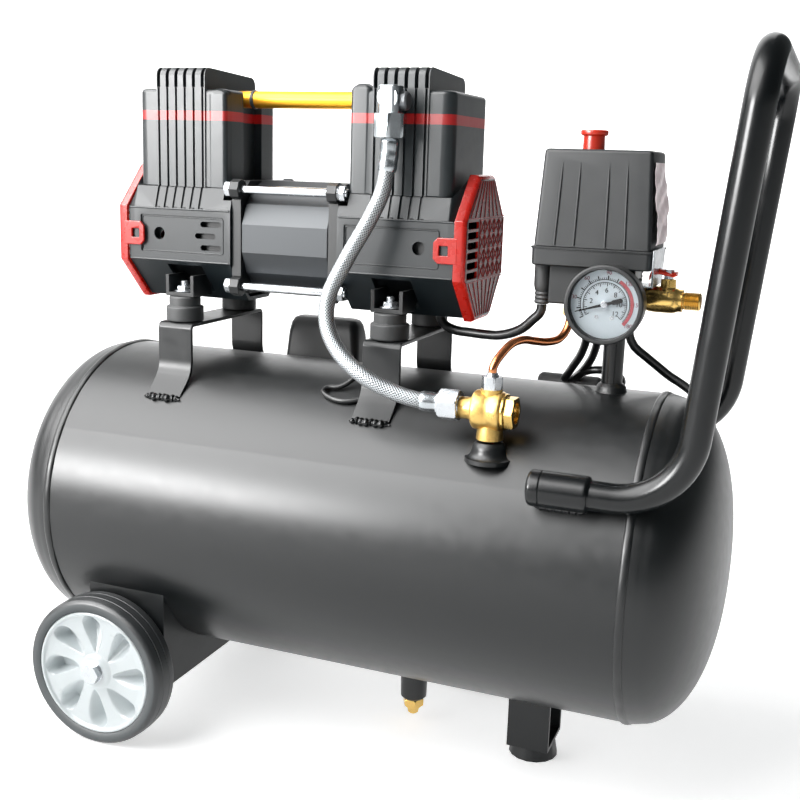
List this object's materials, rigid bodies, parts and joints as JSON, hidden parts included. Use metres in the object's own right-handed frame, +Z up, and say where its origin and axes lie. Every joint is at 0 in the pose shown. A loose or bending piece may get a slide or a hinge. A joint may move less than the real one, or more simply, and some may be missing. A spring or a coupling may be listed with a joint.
{
  "type": "portable air compressor",
  "caption": "Oil-free electric air compressor: twin-cylinder pump on a horizontal wheeled tank with pressure switch, gauge, outlet valve and push handle.",
  "frame": {"origin": "on the floor, under the middle of the object without its mains lead", "axes": "+X towards the handle end, -Y the front with the gauge, +Z up"},
  "size_m": [0.5922, 0.337, 0.5538],
  "materials": {
    "black_paint": "satin black powder coat",
    "white_plastic": "glossy moulded white",
    "tyre": "matt grey-black rubber",
    "steel": "zinc plated and bright turned",
    "rubber": "black rubber and cable sheath",
    "stator_lacquer": "black lacquered laminations",
    "cast_aluminium": "as cast, machined faces",
    "black_plastic": "fine textured black moulding",
    "red_plastic": "glossy orange-red moulding",
    "gold_anodised": "polished orange-gold anodising",
    "chrome": "bright nickel plating",
    "braid": "stainless wire braid",
    "brass": "machined and cast brass",
    "copper": "bright drawn copper"
  },
  "bodies": {
    "frame": {"tank": "black_paint", "handle": "black_paint", "wheel_bracket": "black_paint", "front_foot": "black_paint", "pump_bracket_left": "black_paint", "pump_bracket_right": "black_paint", "standpipe": "black_paint", "axle_bolt_front": "steel", "axle_bolt_rear": "steel", "tie_rod_upper_front": "steel", "tie_rod_upper_rear": "steel", "tie_rod_lower_front": "steel", "tie_rod_lower_rear": "steel", "bearing_left": "steel", "bearing_right": "steel", "rubber_mount_left_front": "rubber", "rubber_mount_left_rear": "rubber", "rubber_mount_right_front": "rubber", "rubber_mount_right_rear": "rubber", "motor_cable": "rubber", "mains_cord": "rubber", "cord_coil": "rubber", "mains_plug": "rubber", "strain_relief": "rubber", "stator": "stator_lacquer", "crankcase_left": "cast_aluminium", "crankcase_right": "cast_aluminium", "cylinder_left": "cast_aluminium", "cylinder_right": "cast_aluminium", "cylinder_head_left": "cast_aluminium", "cylinder_head_right": "cast_aluminium", "head_shroud_left": "black_plastic", "head_shroud_right": "black_plastic", "crankcase_cover_left": "black_plastic", "crankcase_cover_right": "black_plastic", "switch_body": "black_plastic", "switch_cover": "black_plastic", "capacitor_box": "black_plastic", "gauge": "black_plastic", "fan_guard_left": "red_plastic", "fan_guard_right": "red_plastic", "transfer_tube": "gold_anodised", "delivery_elbow": "chrome", "delivery_hose": "braid", "check_valve": "brass", "outlet_valve": "brass", "unloader_tube": "copper"},
    "wheel_front": {"wheel_hub_front": "white_plastic", "tyre_front": "tyre"},
    "wheel_rear": {"wheel_hub_rear": "white_plastic", "tyre_rear": "tyre"},
    "motor_shaft": {"rotor_shaft": "steel", "fan_left": "black_plastic", "fan_right": "black_plastic"},
    "rod_left": {"piston_rod_left": "cast_aluminium"},
    "rod_right": {"piston_rod_right": "cast_aluminium"},
    "valve_lever": {"valve_lever": "red_plastic"},
    "switch_knob": {"switch_knob": "red_plastic"},
    "gauge_needle": {"gauge_needle": "black_plastic"},
    "drain_plug": {"drain_plug": "brass"}
  },
  "joints": [
    {"name": "wheel_front_roll", "type": "hinge", "parent": "frame", "child": "wheel_front", "pos_m": [-0.18615, -0.127, 0.0615], "axis": [0, 1, 0], "continuous": true},
    {"name": "wheel_rear_roll", "type": "hinge", "parent": "frame", "child": "wheel_rear", "pos_m": [-0.18615, 0.127, 0.0615], "axis": [0, 1, 0], "continuous": true},
    {"name": "shaft_spin", "type": "hinge", "parent": "frame", "child": "motor_shaft", "pos_m": [-0.06665, 0, 0.4075], "axis": [1, 0, 0], "continuous": true},
    {"name": "rod_left_turn", "type": "hinge", "parent": "motor_shaft", "child": "rod_left", "pos_m": [-0.16015, 0, 0.4135], "axis": [1, 0, 0], "continuous": true},
    {"name": "rod_right_turn", "type": "hinge", "parent": "motor_shaft", "child": "rod_right", "pos_m": [0.02685, 0, 0.4015], "axis": [1, 0, 0], "continuous": true},
    {"name": "valve_lever_turn", "type": "hinge", "parent": "frame", "child": "valve_lever", "pos_m": [0.22285, 0, 0.391], "axis": [0, 0, 1], "range_deg": [0, 90]},
    {"name": "switch_knob_push", "type": "slide", "parent": "frame", "child": "switch_knob", "axis": [0, 0, 1], "range_m": [-0.008, 0]},
    {"name": "gauge_needle_turn", "type": "hinge", "parent": "frame", "child": "gauge_needle", "pos_m": [0.18685, -0.049, 0.377], "axis": [0, 1, 0], "range_deg": [0, 240], "stiffness_Nm_per_rad": 0.002},
    {"name": "drain_plug_turn", "type": "hinge", "parent": "frame", "child": "drain_plug", "pos_m": [0.03755, 0, 0.017], "axis": [0, 0, 1], "range_deg": [0, 360]}
  ],
  "couplings": [
    {"joint": "rod_left_turn", "follows": "shaft_spin", "ratio": -1},
    {"joint": "rod_right_turn", "follows": "shaft_spin", "ratio": -1}
  ]
}
